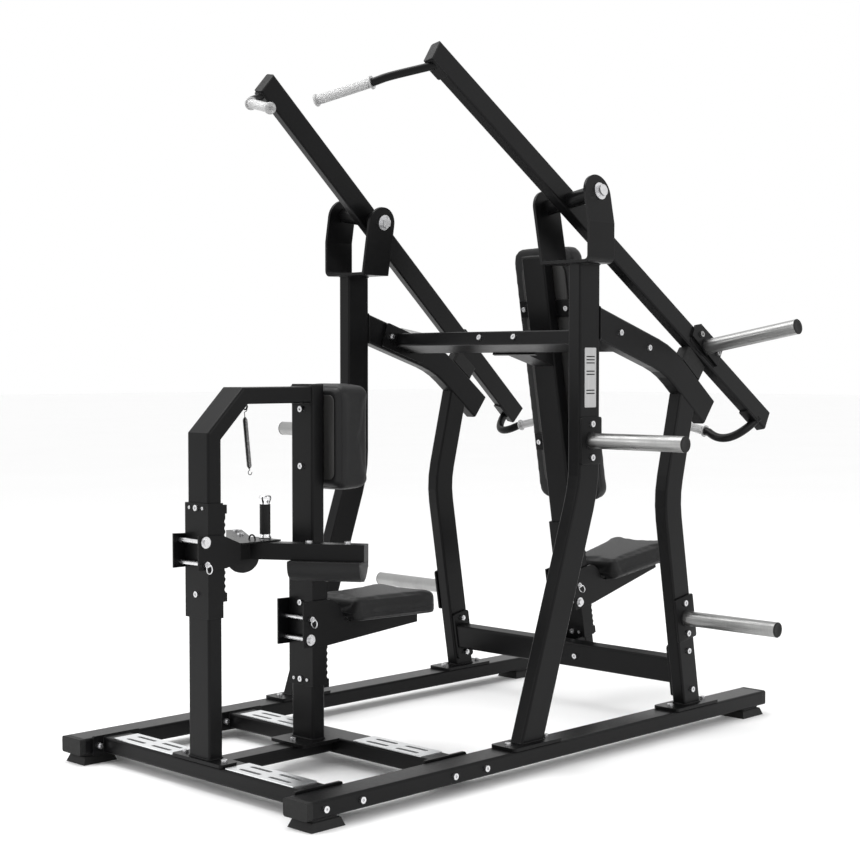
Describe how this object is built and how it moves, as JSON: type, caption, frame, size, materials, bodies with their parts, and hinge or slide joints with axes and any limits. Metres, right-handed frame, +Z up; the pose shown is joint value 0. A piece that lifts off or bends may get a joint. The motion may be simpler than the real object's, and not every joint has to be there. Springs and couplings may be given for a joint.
{
  "type": "lat pulldown machine",
  "caption": "Plate-loaded lat pulldown machine: two tilted lever arms on forked pivots, thigh hold-down and seat on front posts, and a seated press station behind.",
  "frame": {"origin": "on the floor, below the middle of the machine's bounding box", "axes": "+X to the machine's right-hand lever, +Y from the pulldown station to the press station, +Z up"},
  "size_m": [1.8602, 2.232, 2.2097],
  "materials": {
    "frame_paint": "satin black powder coat",
    "black_rubber": "matt moulded rubber",
    "bright_fasteners": "bright zinc plated",
    "horn_steel": "satin bright turned steel",
    "grip_aluminium": "knurled",
    "chrome_grip": "polished ends with a ribbed black sleeve",
    "tread_aluminium": "satin slotted sheet",
    "blank_plate": "blank instruction plate",
    "spring_steel": "dark oiled wire",
    "pad_board": "black painted board",
    "pad_vinyl": "black upholstery vinyl, fine grain"
  },
  "bodies": {
    "frame": {"base_rails": "frame_paint", "tube_end_caps": "black_rubber", "feet": "black_rubber", "front_cross_member": "frame_paint", "mid_cross_member": "frame_paint", "spine_tube": "frame_paint", "tread_plates": "tread_aluminium", "front_post": "frame_paint", "inner_post": "frame_paint", "main_uprights": "frame_paint", "pivot_clevises": "frame_paint", "pivot_bolts": "bright_fasteners", "upper_arms": "frame_paint", "rear_uprights": "frame_paint", "upper_crossbar": "frame_paint", "rear_cross_member": "frame_paint", "press_post": "frame_paint", "post_brackets": "frame_paint", "lever_bumpers": "black_rubber", "storage_horns": "horn_steel", "storage_horn_caps": "black_rubber", "label_plate": "blank_plate", "frame_fasteners": "bright_fasteners", "guide_wraps": "frame_paint", "guide_racks": "frame_paint", "guide_bolts": "bright_fasteners", "pad_boards": "pad_board", "chest_pad": "pad_vinyl", "back_pad": "pad_vinyl", "pad_bolts": "bright_fasteners", "counter_spring": "spring_steel"},
    "right_lever_arm": {"lever_right": "frame_paint", "lever_plugs_right": "black_rubber", "weight_horn_right": "horn_steel", "weight_horn_cap_right": "black_rubber", "pull_handle_right": "frame_paint", "pull_grip_right": "grip_aluminium", "press_handle_right": "frame_paint", "press_grip_right": "grip_aluminium"},
    "left_lever_arm": {"lever_left": "frame_paint", "lever_plugs_left": "black_rubber", "weight_horn_left": "horn_steel", "weight_horn_cap_left": "black_rubber", "pull_handle_left": "frame_paint", "pull_grip_left": "grip_aluminium", "press_handle_left": "frame_paint", "press_grip_left": "grip_aluminium"},
    "thigh_slider": {"thigh_carriage": "frame_paint", "thigh_carriage_bolt": "bright_fasteners", "thigh_hand_grip": "chrome_grip", "thigh_pads": "pad_vinyl"},
    "thigh_pin": {"thigh_lock_pin": "bright_fasteners"},
    "seat_slider": {"seat_carriage": "frame_paint", "seat_carriage_bolt": "bright_fasteners", "seat_pad": "pad_vinyl"},
    "seat_pin": {"seat_lock_pin": "bright_fasteners"},
    "press_seat_slider": {"press_seat_carriage": "frame_paint", "press_seat_bolt": "bright_fasteners", "press_seat_pad": "pad_vinyl"},
    "press_seat_pin": {"press_seat_lock_pin": "bright_fasteners"}
  },
  "joints": [
    {"name": "right_lever_hinge", "type": "hinge", "parent": "frame", "child": "right_lever_arm", "pos_m": [0.4615, 0.093, 1.765], "axis": [0.9848, 0, 0.1736], "range_deg": [0, 55]},
    {"name": "left_lever_hinge", "type": "hinge", "parent": "frame", "child": "left_lever_arm", "pos_m": [-0.4615, 0.093, 1.765], "axis": [0.9848, 0, -0.1736], "range_deg": [0, 55]},
    {"name": "thigh_height_slide", "type": "slide", "parent": "frame", "child": "thigh_slider", "axis": [0, 0, 1], "range_m": [-0.06, 0.08]},
    {"name": "seat_height_slide", "type": "slide", "parent": "frame", "child": "seat_slider", "axis": [0, 0, 1], "range_m": [-0.09, 0.05]},
    {"name": "press_seat_height_slide", "type": "slide", "parent": "frame", "child": "press_seat_slider", "axis": [0, -0.1736, 0.9848], "range_m": [-0.08, 0.1]},
    {"name": "thigh_pin_pull", "type": "slide", "parent": "thigh_slider", "child": "thigh_pin", "axis": [1, 0, 0], "range_m": [0, 0.12]},
    {"name": "seat_pin_pull", "type": "slide", "parent": "seat_slider", "child": "seat_pin", "axis": [1, 0, 0], "range_m": [0, 0.12]},
    {"name": "press_seat_pin_pull", "type": "slide", "parent": "press_seat_slider", "child": "press_seat_pin", "axis": [1, 0, 0], "range_m": [0, 0.12]}
  ]
}
